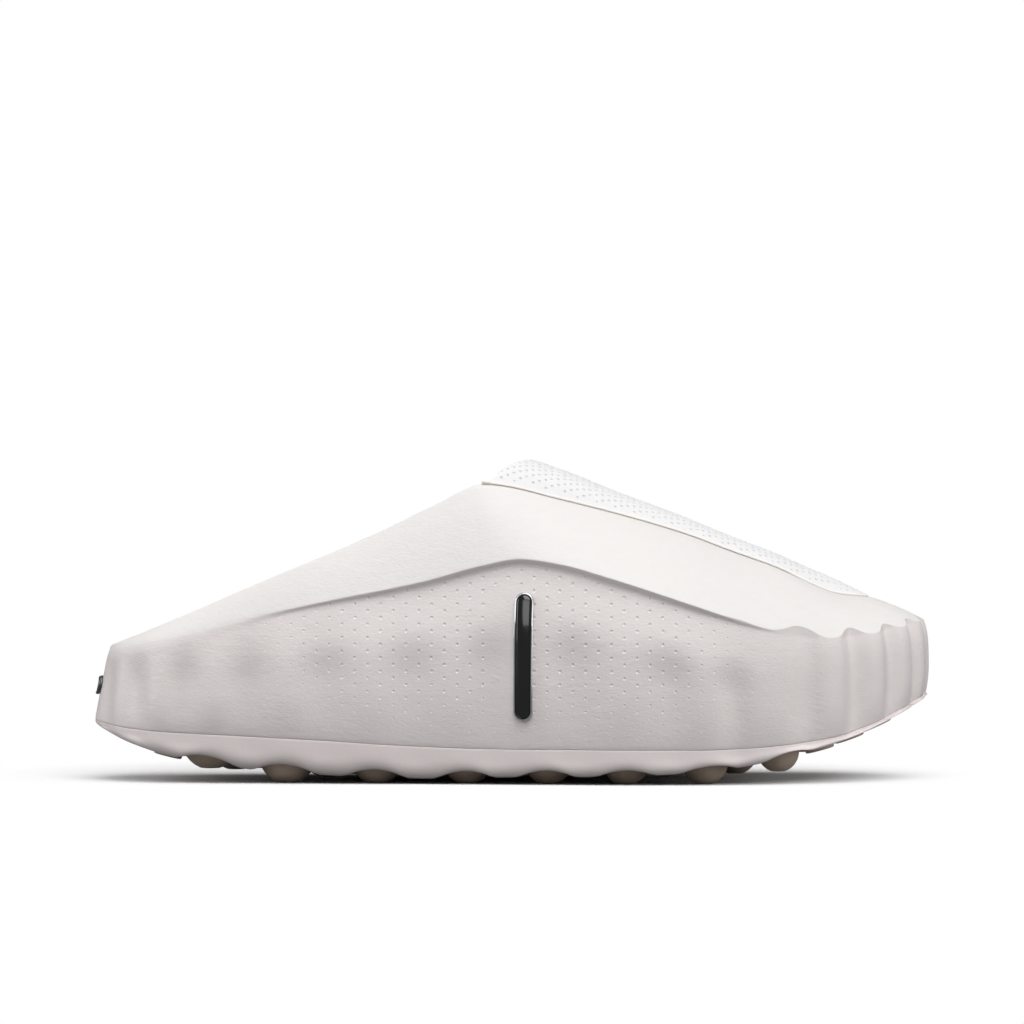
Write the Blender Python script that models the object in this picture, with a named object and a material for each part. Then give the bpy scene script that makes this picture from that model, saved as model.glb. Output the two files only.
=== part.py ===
"""Slip-on sneaker mule for the right foot, in the pieces that its maker puts together.

A padded upper with a fluted wall stands on a rocker sole, a mesh panel closes it over the instep,
and rubber balls and pads are set into sockets under the foot. Metres, +Z up, +X to the toe and -Y to
the outer side of the foot. The origin is on the floor, under the middle of the outline.
"""

import math

import bmesh
import bpy
from mathutils import Matrix, Vector
from mathutils.bvhtree import BVHTree

# Outside of the shoe
LENGTH = 0.306
BALL_WIDTH = 0.118
INSTEP_HEIGHT = 0.1176
CREST_HEIGHT = 0.0810
TOE_SPRING = 0.0325

# Upper
WALL = 0.0035
SEAM_TUCK = 0.0020
CREST_INSET = 0.0060
UNDERCUT = 0.0036
FLUTE_DEPTH = 0.0036
FLUTES = 31
FLUTE_SEAM_SHARE = 0.7
RIM_ROLL = 0.0035
HEEL_RIM = 0.0062
TOE_CAP = 0.0225
SHOULDER_SWELL = 0.30
LINING_KNEE = 0.45

# Shares of the wall's height where its forms start and end, and of the shoulder's reach
TUCK_ENDS = 0.35
FLUTES_FULL = 0.30
PILLOW_SPAN = (0.35, 0.72)
GROOVE_STARTS = 0.70
GROOVE_DEEPEST = 0.94
WALL_RISES = (0.0, 0.20, 0.45, GROOVE_STARTS, 0.84, GROOVE_DEEPEST)
SHOULDER_SHARES = (0.30, 0.68, 1.0)
STEEPEST_SHOULDER = 1.5

# Mesh panel over the instep
PANEL_WALL = 0.0030
LIP_SCOOP = 0.0165
LIP_ROLL = 0.0022
PANEL_FULLNESS = 2.5
PANEL_STEPS = (-1.0, -0.80, -0.45, 0.0, 0.45, 0.80, 1.0)

# Sole, insole and tread
SOLE_LEAN = 0.70
PLUG_RISE = 0.0055
INSOLE_THICKNESS = 0.0045
INSOLE_CUP = 0.0020
INSOLE_DISH = 0.0090
BALL_INSET = 0.0170
BALL_RADIUS = 0.0105
BALL_FLAT = 0.0030
BALL_SHANK = 0.0020
DISH_REACH = 0.0022
DISH_DEPTH = 0.0035
PAD_RADIUS = 0.0065
PAD_THICKNESS = 0.0030
PAD_PROUD = 0.0013
PAD_BEVEL = 0.0008

# Badges
BADGE_WIDTH = 0.0070
BADGE_HEIGHT = 0.0460
BADGE_FORWARD = 0.0036
BADGE_MIDDLE_HEIGHT = 0.0460
HEEL_BADGE_WIDTH = 0.0160
HEEL_BADGE_HEIGHT = 0.0066
HEEL_BADGE_MIDDLE_HEIGHT = 0.0345
BADGE_THICKNESS = 0.0013
BADGE_BEVEL = 0.0006
BADGE_STEP = 0.0035

GAP = 0.0003
TURN_STEP = 0.01
FLUTE_SAMPLES = 4
BALL_SIDES = 12

# The foot's middle line and the half widths either side of it, as shares of BALL_WIDTH.
# A station is a share of LENGTH from the heel.
PLAN = (
    ("station", "middle", "outer", "inner"),
    (0.00, 0.000, 0.660, 0.660),
    (0.05, 0.000, 0.632, 0.632),
    (0.15, 0.000, 0.510, 0.504),
    (0.25, -0.008, 0.445, 0.445),
    (0.40, -0.017, 0.411, 0.398),
    (0.50, -0.013, 0.441, 0.411),
    (0.62, 0.000, 0.511, 0.476),
    (0.72, 0.013, 0.566, 0.538),
    (0.82, 0.034, 0.607, 0.579),
    (0.92, 0.059, 0.648, 0.593),
    (1.00, 0.068, 0.700, 0.650),
)

# Height of the seam between upper and sole, and of the sole's lower edge, as shares of TOE_SPRING
ROCKER = (
    ("station", "seam", "edge"),
    (0.00, 0.677, 0.640),
    (0.02, 0.640, 0.550),
    (0.05, 0.600, 0.428),
    (0.10, 0.565, 0.290),
    (0.15, 0.545, 0.205),
    (0.20, 0.520, 0.142),
    (0.25, 0.498, 0.105),
    (0.40, 0.418, 0.058),
    (0.50, 0.394, 0.080),
    (0.62, 0.391, 0.092),
    (0.72, 0.390, 0.140),
    (0.77, 0.405, 0.200),
    (0.82, 0.440, 0.302),
    (0.88, 0.523, 0.449),
    (0.92, 0.640, 0.585),
    (0.97, 0.855, 0.809),
    (1.00, 1.000, 0.955),
)

# The crest: its height as a share of CREST_HEIGHT, and how much of CREST_INSET, UNDERCUT,
# FLUTE_DEPTH and SEAM_TUCK the wall has there. Bulge is the power of its lean: 1 is a straight wall
# and more keeps it upright for longer. Pillow is 1 where the flutes die out below the crest.
CREST = (
    ("station", "height", "inset", "bulge", "undercut", "flute", "pillow", "tuck"),
    (0.00, 0.586, 0.82, 1.1, 0.00, 0.00, 0.60, 0.0),
    (0.01, 0.592, 0.82, 1.2, 0.00, 0.30, 0.60, 0.1),
    (0.05, 0.623, 0.82, 1.5, 0.00, 0.62, 0.62, 0.5),
    (0.10, 0.654, 0.78, 1.9, 0.05, 0.66, 0.66, 0.9),
    (0.15, 0.695, 0.78, 2.3, 0.20, 0.64, 0.72, 1.0),
    (0.25, 0.786, 0.90, 2.6, 0.65, 0.60, 0.80, 1.0),
    (0.40, 0.899, 1.05, 2.6, 1.00, 0.52, 1.00, 1.0),
    (0.47, 0.970, 1.10, 2.6, 1.00, 0.50, 1.00, 1.0),
    (0.515, 1.000, 1.10, 2.6, 1.00, 0.50, 1.00, 1.0),
    (0.56, 0.978, 1.08, 2.6, 1.00, 0.50, 1.00, 1.0),
    (0.62, 0.915, 1.00, 2.8, 1.00, 0.52, 1.00, 1.0),
    (0.72, 0.790, 0.70, 3.4, 0.80, 0.60, 0.90, 1.0),
    (0.78, 0.714, 0.48, 4.2, 0.35, 0.80, 0.45, 0.9),
    (0.82, 0.677, 0.38, 5.0, 0.08, 0.95, 0.10, 0.8),
    (0.88, 0.649, 0.34, 5.5, 0.00, 1.00, 0.00, 0.7),
    (0.92, 0.662, 0.34, 6.0, 0.00, 0.95, 0.00, 0.6),
    (0.97, 0.695, 0.34, 6.0, 0.00, 0.85, 0.00, 0.5),
    (1.00, 0.722, 0.34, 6.0, 0.00, 0.80, 0.00, 0.5),
)

# The edge of the opening for the foot and, ahead of its lip, of the mesh panel. A place is a share of
# the way from the heel's rim to the panel's tip, widths are shares of BALL_WIDTH, heights of
# INSTEP_HEIGHT. Ridge is the middle line of the panel.
MOUTH = (
    ("place", "middle", "width", "height", "ridge"),
    (0.000, 0.000, 0.458, 0.419, 0.419),
    (0.060, 0.000, 0.431, 0.474, 0.474),
    (0.200, -0.004, 0.345, 0.615, 0.615),
    (0.360, -0.002, 0.276, 0.775, 0.775),
    (0.400, 0.001, 0.270, 0.822, 0.890),
    (0.440, 0.004, 0.264, 0.868, 0.965),
    (0.465, 0.006, 0.260, 0.900, 0.990),
    (0.489, 0.008, 0.256, 0.922, 1.000),
    (0.520, 0.010, 0.250, 0.914, 1.012),
    (0.584, 0.014, 0.241, 0.878, 0.973),
    (0.668, 0.020, 0.225, 0.828, 0.895),
    (0.752, 0.026, 0.211, 0.770, 0.821),
    (0.816, 0.032, 0.209, 0.714, 0.759),
    (0.879, 0.038, 0.222, 0.660, 0.702),
    (0.922, 0.042, 0.240, 0.611, 0.657),
    (0.955, 0.046, 0.260, 0.582, 0.624),
    (1.000, 0.051, 0.300, 0.569, 0.573),
)
LIP_PLACE = 0.489
ROLL_FADES = (0.432, 0.462)

# The sole's band from its lower edge up: shares of its height, of the lean of its edge, of the tuck at
# the seam and of the flutes
SOLE_BAND = (
    ("rise", "lean", "tuck", "flute"),
    (0.00, 1.00, 0.00, 1.00),
    (0.34, 0.26, 0.00, 0.70),
    (0.70, 0.00, 0.80, 0.70),
)

# One row for each ball along a side: which flute it stands under, its radius as a share of
# BALL_RADIUS and how high its foot is off the floor, as a share of TOE_SPRING
SIDE_BALLS = (
    ("flute", "radius", "lift"),
    (2.94, 1.00, 0.155),
    (4.00, 1.00, 0.000),
    (5.07, 0.96, 0.000),
    (6.09, 0.91, 0.000),
    (7.00, 0.87, 0.000),
    (7.91, 0.84, 0.000),
    (8.92, 0.79, 0.000),
    (10.00, 0.72, 0.130),
)
MIDDLE_BALLS = (
    ("flute", "radius", "lift"),
    (3.27, 0.96, 0.110),
    (4.46, 0.96, 0.030),
    (5.54, 0.92, 0.030),
    (6.54, 0.88, 0.030),
    (7.48, 0.86, 0.030),
    (8.42, 0.84, 0.030),
    (9.40, 0.80, 0.060),
    (10.45, 0.76, 0.300),
)

# Flat tread pads past the balls: how far ahead of the middle as a share of LENGTH, how far across as
# a share of BALL_WIDTH, and the radius as a share of PAD_RADIUS
TOE_PADS = (
    ("ahead", "across", "radius"),
    (0.362, -0.285, 0.82),
    (0.399, -0.178, 0.86),
    (0.432, -0.045, 1.00),
    (0.434, 0.125, 1.00),
    (0.402, 0.258, 0.86),
    (0.362, 0.360, 0.82),
)
HEEL_PADS = (
    ("ahead", "across", "radius"),
    (-0.410, -0.145, 0.80),
    (-0.424, 0.000, 0.80),
    (-0.410, 0.145, 0.80),
)

COLOURS = {
    "upper": (0.80, 0.77, 0.76),
    "mesh": (0.86, 0.85, 0.84),
    "sole": (0.76, 0.72, 0.72),
    "rubber": (0.45, 0.38, 0.33),
    "insole": (0.72, 0.70, 0.68),
    "badge": (0.02, 0.02, 0.02),
}
ROUGHNESS = {"upper": 0.5, "mesh": 0.9, "sole": 0.6, "rubber": 0.55, "insole": 0.85, "badge": 0.15}


def curve(table, column):
    """A smooth function through one column of a table, which never overshoots its rows."""
    at = table[0].index(column)
    xs = [row[0] for row in table[1:]]
    ys = [row[at] for row in table[1:]]
    steps = [b - a for a, b in zip(xs, xs[1:])]
    rises = [(b - a) / h for a, b, h in zip(ys, ys[1:], steps)]
    slopes = [rises[0]]
    for left, right in zip(rises, rises[1:]):
        slopes.append(0.0 if left * right <= 0 else 2 * left * right / (left + right))
    slopes.append(rises[-1])

    def value(x):
        x = min(max(x, xs[0]), xs[-1])
        i = max(j for j in range(len(steps)) if x >= xs[j])
        h, u = steps[i], (x - xs[i]) / steps[i]
        start = (1 + 2 * u) * (1 - u) ** 2 * ys[i] + u * (1 - u) ** 2 * h * slopes[i]
        return start + u * u * (3 - 2 * u) * ys[i + 1] + u * u * (u - 1) * h * slopes[i + 1]

    return value


def ease(x, low, high):
    """0 below low, 1 above high and smooth between."""
    u = min(max((x - low) / (high - low), 0.0), 1.0)
    return u * u * (3 - 2 * u)


plan = {name: curve(PLAN, name) for name in PLAN[0][1:]}
rocker = {name: curve(ROCKER, name) for name in ROCKER[0][1:]}
crest = {name: curve(CREST, name) for name in CREST[0][1:]}
mouth = {name: curve(MOUTH, name) for name in MOUTH[0][1:]}


def flute_at(turn):
    """Which flute lies at an angle round the shoe, counted from the heel along the outer side.
    The two sines crowd the flutes towards the toe and keep both sides alike."""
    return FLUTES * turn / math.tau - 0.652 * math.sin(turn) + 0.078 * math.sin(2 * turn) - 0.5


def turn_at(flute):
    low, high = 0.0, math.tau
    for _ in range(40):
        middle = (low + high) / 2
        if flute_at(middle) < flute:
            low = middle
        else:
            high = middle
    return (low + high) / 2


def share_along(turn):
    """How far along the shoe a turn is, from 0 at the heel to 1 at the toe."""
    return (1 - math.cos(turn)) / 2


def station_at(x):
    return x / LENGTH + 0.5


def edge_height(x):
    return TOE_SPRING * rocker["edge"](station_at(x))


def seam_height(x):
    return TOE_SPRING * rocker["seam"](station_at(x))


def footprint(turn):
    """A point of the outline seen from above."""
    station = share_along(turn)
    side = "outer" if turn < math.pi else "inner"
    across = plan["middle"](station) - plan[side](station) * math.sin(turn)
    return Vector((LENGTH * (station - 0.5), BALL_WIDTH * across, 0.0))


def mouth_edge(turn):
    """A point of the edge of the opening."""
    back, tip = HEEL_RIM - LENGTH / 2, LENGTH / 2 - TOE_CAP
    place = share_along(turn)
    across = mouth["middle"](place) - mouth["width"](place) * math.sin(turn)
    return Vector((
        back + (tip - back) * place,
        BALL_WIDTH * across,
        INSTEP_HEIGHT * mouth["height"](place),
    ))


class Section:
    """An upright cut through the wall, from the outline to the edge of the opening. Its points are
    a reach in from the outline and a height."""

    def __init__(self, turn):
        self.base = footprint(turn)
        self.rim = mouth_edge(turn)
        self.flute = flute_at(turn)
        self.station = share_along(turn)
        inward = Vector((self.rim.x, self.rim.y, 0)) - self.base
        self.reach = inward.length
        self.inward = inward.normalized()
        self.seam = seam_height(self.base.x)
        self.crest = CREST_HEIGHT * crest["height"](self.station)
        self.crest_inset = CREST_INSET * crest["inset"](self.station)
        self.undercut = UNDERCUT * crest["undercut"](self.station)
        self.bulge = crest["bulge"](self.station)
        self.tuck = SEAM_TUCK * crest["tuck"](self.station)
        self.pillow = crest["pillow"](self.station)
        self.depth = FLUTE_DEPTH * crest["flute"](self.station)
        self.roll = RIM_ROLL * (1 - ease(self.station, *ROLL_FADES))

    def point(self, reach, height):
        spot = self.base + self.inward * reach
        return Vector((spot.x, spot.y, height))

    def flute_share(self, rise):
        """How much of the flutes' depth is left at a share of the wall's height."""
        grown = FLUTE_SEAM_SHARE + (1 - FLUTE_SEAM_SHARE) * ease(rise, 0, FLUTES_FULL)
        return grown * (1 - self.pillow * ease(rise, *PILLOW_SPAN))

    def lean(self, rise):
        """Reach of the wall without its flutes: tucked in at the seam, leaning in below the crest,
        hollowed under it and out again at its lip."""
        tuck = self.tuck * max(0.0, 1 - rise / TUCK_ENDS) ** 2
        groove = ease(rise, GROOVE_STARTS, GROOVE_DEEPEST) - ease(rise, GROOVE_DEEPEST, 1.0)
        return tuck + self.crest_inset * rise ** self.bulge + self.undercut * groove

    def trough(self):
        """How far in the flutes are here, from 0 on a bulge to 1 in a trough."""
        return 0.5 - 0.5 * math.cos(math.tau * self.flute)

    def wall(self, rise):
        reach = self.lean(rise) + self.depth * self.trough() * self.flute_share(rise)
        return reach, self.seam + rise * (self.crest - self.seam)

    def lining(self, rise):
        """Reach of the smooth inside of the wall, behind the deepest flute and the undercut."""
        deepest = self.lean(rise) + self.depth * self.flute_share(rise)
        return deepest + WALL

    def beside_lining(self, lift, gap):
        """A point at a lift over the seam's own height, a gap in from the wall's inside."""
        rise = lift / (self.crest - self.seam)
        low, high = self.lining(0.0), self.lining(LINING_KNEE)
        reach = max(low, low + (high - low) * rise / LINING_KNEE) + gap
        spot = self.point(reach, 0)
        spot.z = seam_height(spot.x) + lift
        return spot

    def shoulder_height(self, reach):
        """Height of the surface between the crest and the edge of the opening."""
        share = (reach - self.crest_inset) / (self.reach - self.crest_inset)
        share = min(max(share, 0.0), 1.0)
        return self.crest + (self.rim.z - self.crest) * (share + SHOULDER_SWELL * share * (1 - share))

    def drop(self, reach):
        """Upright thickness of the shoulder, which keeps the wall's own thickness on a slope."""
        slope = (self.shoulder_height(reach) - self.shoulder_height(reach - GAP)) / GAP
        return WALL * math.sqrt(1 + min(abs(slope), STEEPEST_SHOULDER) ** 2)

    def outline(self):
        """The closed outline of the wall's cut, from the seam up the outside, over the rim and down."""
        points = [self.wall(rise) for rise in WALL_RISES]
        lip = self.crest_inset + self.depth * self.trough() * self.flute_share(1.0)
        points.append((lip, self.shoulder_height(lip)))
        for share in SHOULDER_SHARES:
            reach = lip + (self.reach - lip) * share
            points.append((reach, self.shoulder_height(reach)))
        drop = self.drop(self.reach)
        points.append((self.reach + 0.75 * self.roll, self.rim.z - 0.35 * drop))
        rim = (self.reach + self.roll, self.rim.z - drop)
        points.append(rim)
        inside = self.lining(GROOVE_DEEPEST)
        for share in (0.5, 1.0):
            reach = rim[0] + (inside - rim[0]) * share
            points.append((reach, self.shoulder_height(reach) - self.drop(reach)))
        for rise in (LINING_KNEE, 0.0):
            points.append((self.lining(rise), self.seam + rise * (self.crest - self.seam)))
        return [self.point(*p) for p in points]


def all_turns():
    count = FLUTES * FLUTE_SAMPLES
    return [turn_at(i / FLUTE_SAMPLES - 0.5) for i in range(count)]


def material(kind):
    found = bpy.data.materials.get(kind)
    if found:
        return found
    made = bpy.data.materials.new(kind)
    made.use_nodes = True
    shader = made.node_tree.nodes["Principled BSDF"]
    shader.inputs["Base Color"].default_value = (*COLOURS[kind], 1)
    shader.inputs["Roughness"].default_value = ROUGHNESS[kind]
    return made


def finished(name, shape, kind):
    """Turns a bmesh into a named object with its material."""
    bmesh.ops.recalc_face_normals(shape, faces=shape.faces)
    bmesh.ops.triangulate(shape, faces=[f for f in shape.faces if len(f.verts) == 4])
    mesh = bpy.data.meshes.new(name)
    shape.to_mesh(mesh)
    shape.free()
    mesh.materials.append(material(kind))
    mesh.shade_smooth()
    mesh.set_sharp_from_angle(angle=math.radians(35))
    made = bpy.data.objects.new(name, mesh)
    bpy.context.scene.collection.objects.link(made)
    return made


def skin(shape, rings, closed=False):
    """Joins each ring of points to the next, and the last to the first if the skin is closed."""
    loops = [[shape.verts.new(p) for p in ring] for ring in rings]
    pairs = list(zip(loops, loops[1:])) + ([(loops[-1], loops[0])] if closed else [])
    for low, high in pairs:
        count = len(low)
        for i in range(count):
            j = (i + 1) % count
            shape.faces.new((low[i], low[j], high[j], high[i]))
    return loops


def cap(shape, loop):
    """Closes a loop that is alike on both sides with strips across the foot."""
    count = len(loop)
    half = count // 2
    shape.faces.new((loop[0], loop[1], loop[-1]))
    for i in range(1, half - 1):
        shape.faces.new((loop[i], loop[i + 1], loop[count - i - 1], loop[count - i]))
    shape.faces.new((loop[half - 1], loop[half], loop[half + 1]))


def turned(profile, sides=BALL_SIDES):
    """A closed round body from (radius, height) pairs, bottom to top."""
    shape = bmesh.new()
    rings = [
        [
            Vector((r * math.cos(math.tau * i / sides), r * math.sin(math.tau * i / sides), z))
            for i in range(sides)
        ]
        for r, z in profile
    ]
    loops = skin(shape, rings)
    shape.faces.new(loops[0])
    shape.faces.new(loops[-1])
    return shape


def build_upper(sections):
    outlines = [s.outline() for s in sections]
    shape = bmesh.new()
    skin(shape, [list(ring) for ring in zip(*outlines)], closed=True)
    return finished("upper", shape, "upper")


def panel_edge(turn):
    """A point of the opening's edge, moved in by the gap that the panel keeps all round."""
    run = mouth_edge(turn + TURN_STEP) - mouth_edge(turn - TURN_STEP)
    return mouth_edge(turn) + Vector((-run.y, run.x, 0)).normalized() * GAP


def build_vamp_mesh(turns):
    """Each ring goes over the panel from side to side and back under it. The first rings scoop
    forward to the lip, whose nose is rolled, and the last ends at the panel's tip."""
    half = len(turns) // 2
    first = next(i for i in range(half) if share_along(turns[i]) >= LIP_PLACE)
    back, tip = mouth_edge(0.0).x, mouth_edge(math.pi).x

    def strip(i, sink, nose):
        outer, inner = panel_edge(turns[i]), panel_edge(turns[-i])
        scoop = LIP_SCOOP * ((half - i) / (half - first)) ** 3
        points = []
        for u in PANEL_STEPS:
            spot = outer.lerp(inner, (u + 1) / 2)
            spot.x += scoop * (1 - u * u)
            ridge = INSTEP_HEIGHT * mouth["ridge"]((spot.x - back) / (tip - back))
            spot.x -= nose * (1 - 0.7 * u * u)
            spot.z += (ridge - spot.z) * (1 - abs(u) ** PANEL_FULLNESS) - sink
            points.append(spot)
        return points

    def ring(i, over=0.0, under=PANEL_WALL, nose=0.0):
        return strip(i, over, nose) + strip(i, under, nose)[::-1]

    shape = bmesh.new()
    nose = ring(first, 0.3 * PANEL_WALL, 0.7 * PANEL_WALL, LIP_ROLL)
    loops = skin(shape, [nose] + [ring(i) for i in range(first, half)])
    for loop in (loops[0], loops[-1]):
        for i in range(len(PANEL_STEPS) - 1):
            shape.faces.new((loop[i], loop[i + 1], loop[-i - 2], loop[-i - 1]))
    return finished("vamp_mesh", shape, "mesh")


def build_sole(sections, cutters):
    outlines = []
    for s in sections:
        bottom = edge_height(s.base.x)
        tall = s.seam - bottom
        points = []
        for rise, lean, tuck, flute in SOLE_BAND[1:]:
            reach = lean * SOLE_LEAN * tall + tuck * s.tuck + flute * s.depth * s.trough()
            points.append(s.point(reach, bottom + rise * tall))
        points[0].z = edge_height(points[0].x)
        points.append(s.point(s.wall(0.0)[0], s.seam - GAP))
        points.append(s.point(s.lining(0.0) + GAP, s.seam - GAP))
        points.append(s.beside_lining(PLUG_RISE, GAP))
        outlines.append(points)
    shape = bmesh.new()
    loops = skin(shape, [list(ring) for ring in zip(*outlines)])
    cap(shape, loops[0])
    cap(shape, loops[-1])
    sole = finished("sole", shape, "sole")
    cut = sole.modifiers.new("sockets", "BOOLEAN")
    cut.operation = "DIFFERENCE"
    cut.solver = "EXACT"
    cut.use_self = True
    cut.object = cutters
    return sole


def build_insole(sections):
    rings = []
    for lift, inset in (
        (0.0, INSOLE_DISH),
        (0.0, 0.0),
        (INSOLE_THICKNESS + INSOLE_CUP, 0.0),
        (INSOLE_THICKNESS, INSOLE_DISH),
    ):
        height = PLUG_RISE + GAP + lift
        rings.append([s.beside_lining(height, 2 * GAP + inset) for s in sections])
    shape = bmesh.new()
    loops = skin(shape, rings)
    cap(shape, loops[0])
    cap(shape, loops[-1])
    return finished("insole", shape, "insole")


def tread_place(flute, across):
    """A place under a flute: in from the outer edge at 0, from the inner edge at 1, or between."""
    inset = Vector((0, BALL_INSET, 0))
    start = footprint(turn_at(flute)) + inset
    end = footprint(math.tau - turn_at(flute)) - inset
    return start.lerp(end, across)


def place(made, spot, tilt=0.0):
    made.location = spot
    made.rotation_euler = (0, -tilt, 0)
    return made


def add_cutter(tool, shape, spot, tilt=0.0):
    """Adds one socket's cutter to the tool that cuts them all."""
    bmesh.ops.rotate(shape, verts=shape.verts, matrix=Matrix.Rotation(-tilt, 3, "Y"))
    bmesh.ops.translate(shape, verts=shape.verts, vec=spot)
    scrap = bpy.data.meshes.new("scrap")
    bmesh.ops.recalc_face_normals(shape, faces=shape.faces)
    shape.to_mesh(scrap)
    shape.free()
    tool.from_mesh(scrap)
    bpy.data.meshes.remove(scrap)


def build_ball(name, spot, radius, tool):
    """A moulded stud with a round foot, worn to a small flat, and its socket, dished round the foot."""
    start = math.asin(BALL_FLAT / radius)
    foot = radius * (1 - math.cos(start))
    angles = (start, start + 0.5 * (math.pi / 2 - start), math.pi / 2)
    profile = [(radius * math.sin(a), radius * (1 - math.cos(a)) - foot) for a in angles]
    top = radius - foot + BALL_SHANK
    profile.append((radius, top))
    made = place(finished(name, turned(profile), "rubber"), spot)
    snug = radius + GAP
    neck = radius - DISH_DEPTH
    lip = snug + DISH_REACH
    socket = [(lip, -2 * DISH_DEPTH), (lip, neck - DISH_DEPTH), (snug, neck), (snug, top + GAP)]
    add_cutter(tool, turned(socket), spot)
    return made


def build_pad(name, ahead, across, radius, tool):
    """A flat pad let into the sole's underside, square to it."""
    front, back = edge_height(ahead + radius), edge_height(ahead - radius)
    tilt = math.atan2(front - back, 2 * radius)
    spot = Vector((ahead, across, (front + back) / 2))
    profile = [
        (radius - PAD_BEVEL, -PAD_PROUD),
        (radius, PAD_BEVEL - PAD_PROUD),
        (radius, PAD_THICKNESS - PAD_PROUD),
    ]
    made = place(finished(name, turned(profile), "rubber"), spot, tilt)
    socket = [(radius + GAP, -2 * DISH_DEPTH), (radius + GAP, PAD_THICKNESS - PAD_PROUD + GAP)]
    add_cutter(tool, turned(socket), spot, tilt)
    return made


def build_tread(tool):
    for side, across in (("outer", 0.0), ("inner", 1.0)):
        for number, (flute, radius, lift) in enumerate(SIDE_BALLS[1:], 1):
            spot = tread_place(flute, across)
            spot.z = TOE_SPRING * lift
            build_ball(f"ball_{side}_{number}", spot, BALL_RADIUS * radius, tool)
    for number, (flute, radius, lift) in enumerate(MIDDLE_BALLS[1:], 1):
        spot = tread_place(flute, 0.5)
        spot.z = TOE_SPRING * lift
        build_ball(f"ball_middle_{number}", spot, BALL_RADIUS * radius, tool)
    for kind, pads in (("toe_pad", TOE_PADS), ("heel_pad", HEEL_PADS)):
        for number, (ahead, across, radius) in enumerate(pads[1:], 1):
            size = PAD_RADIUS * radius
            build_pad(f"{kind}_{number}", LENGTH * ahead, BALL_WIDTH * across, size, tool)


def capsule(long, short, inset=0.0, arc=6):
    """Points round an oblong with round ends, from the tip of one end."""
    radius, straight = short / 2 - inset, (long - short) / 2
    rungs = math.ceil(2 * straight / BADGE_STEP)
    ring = []
    for side in (1, -1):
        for k in range(arc + 1):
            a = math.pi * (k / arc - 0.5)
            ring.append((side * (straight + radius * math.cos(a)), side * radius * math.sin(a)))
        ring += [(side * straight * (1 - 2 * k / rungs), side * radius) for k in range(1, rungs)]
    return ring[arc // 2:] + ring[:arc // 2]


def build_badge(name, turn, width, height, middle_height, upper):
    """A plain capsule badge that follows the upper's wall. It stands upright if it is taller than wide."""
    along = (footprint(turn + TURN_STEP) - footprint(turn - TURN_STEP)).normalized()
    inward = Vector((0, 0, 1)).cross(along)
    wall = bmesh.new()
    wall.from_mesh(upper.data)
    tree = BVHTree.FromBMesh(wall)
    wall.free()

    def ring(inset, proud):
        points = []
        for a, b in capsule(max(width, height), min(width, height), inset):
            x, z = (b, a) if height > width else (a, b)
            start = footprint(turn) - inward * WALL + along * x
            start.z = middle_height + z
            hit = tree.ray_cast(start, inward)[0]
            points.append(hit - inward * (GAP + proud))
        return points

    core = min(width, height) / 4
    shape = bmesh.new()
    loops = skin(shape, [
        ring(core, 0.0),
        ring(0.0, 0.0),
        ring(0.0, BADGE_THICKNESS - BADGE_BEVEL),
        ring(BADGE_BEVEL, BADGE_THICKNESS),
        ring(core, BADGE_THICKNESS),
    ])
    cap(shape, loops[0])
    cap(shape, loops[-1])
    return finished(name, shape, "badge")


def main():
    for found in list(bpy.data.objects):
        bpy.data.objects.remove(found)
    turns = all_turns()
    sections = [Section(turn) for turn in turns]
    upper = build_upper(sections)
    build_vamp_mesh(turns[::2])
    tool = bmesh.new()
    build_tread(tool)
    cutters = finished("socket_cutters", tool, "rubber")
    cutters.hide_render = True
    cutters.display_type = "WIRE"
    build_sole(sections[::2], cutters)
    build_insole(sections[::2])
    badge_turn = math.acos(-BADGE_FORWARD / (LENGTH / 2))
    build_badge("side_badge", badge_turn, BADGE_WIDTH, BADGE_HEIGHT, BADGE_MIDDLE_HEIGHT, upper)
    build_badge("heel_badge", 0.0, HEEL_BADGE_WIDTH, HEEL_BADGE_HEIGHT, HEEL_BADGE_MIDDLE_HEIGHT, upper)


main()
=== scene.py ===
import math

import bmesh
import bpy
import numpy as np
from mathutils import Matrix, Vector
from mathutils.bvhtree import BVHTree


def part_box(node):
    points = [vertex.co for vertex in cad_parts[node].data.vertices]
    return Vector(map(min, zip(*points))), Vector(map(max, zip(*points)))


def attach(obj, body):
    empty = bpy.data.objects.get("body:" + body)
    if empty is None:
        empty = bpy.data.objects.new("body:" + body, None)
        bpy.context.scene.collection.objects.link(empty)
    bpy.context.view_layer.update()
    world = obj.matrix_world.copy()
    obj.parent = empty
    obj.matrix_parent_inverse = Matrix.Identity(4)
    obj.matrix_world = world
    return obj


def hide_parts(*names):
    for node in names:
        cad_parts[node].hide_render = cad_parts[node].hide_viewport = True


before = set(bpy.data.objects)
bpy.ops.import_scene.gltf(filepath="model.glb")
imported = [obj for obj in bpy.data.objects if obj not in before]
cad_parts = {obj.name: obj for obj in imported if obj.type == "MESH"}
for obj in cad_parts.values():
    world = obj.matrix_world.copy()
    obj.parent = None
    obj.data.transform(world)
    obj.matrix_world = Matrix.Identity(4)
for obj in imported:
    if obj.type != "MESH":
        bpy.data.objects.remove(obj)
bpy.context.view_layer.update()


def hexColour(code):
    parts = [int(code[i:i + 2], 16) / 255 for i in (1, 3, 5)]
    return (*[p / 12.92 if p <= 0.04045 else ((p + 0.055) / 1.055) ** 2.4 for p in parts], 1.0)


def addNode(tree, kind, inputs=None, **settings):
    # inputs: socket name or number -> another node's socket, or a plain value
    made = tree.nodes.new(kind)
    for name, value in settings.items():
        setattr(made, name, value)
    for name, value in (inputs or {}).items():
        for link in value if isinstance(value, list) else [value]:
            if isinstance(link, bpy.types.NodeSocket):
                tree.links.new(link, made.inputs[name])
            else:
                made.inputs[name].default_value = link
    return made


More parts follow.
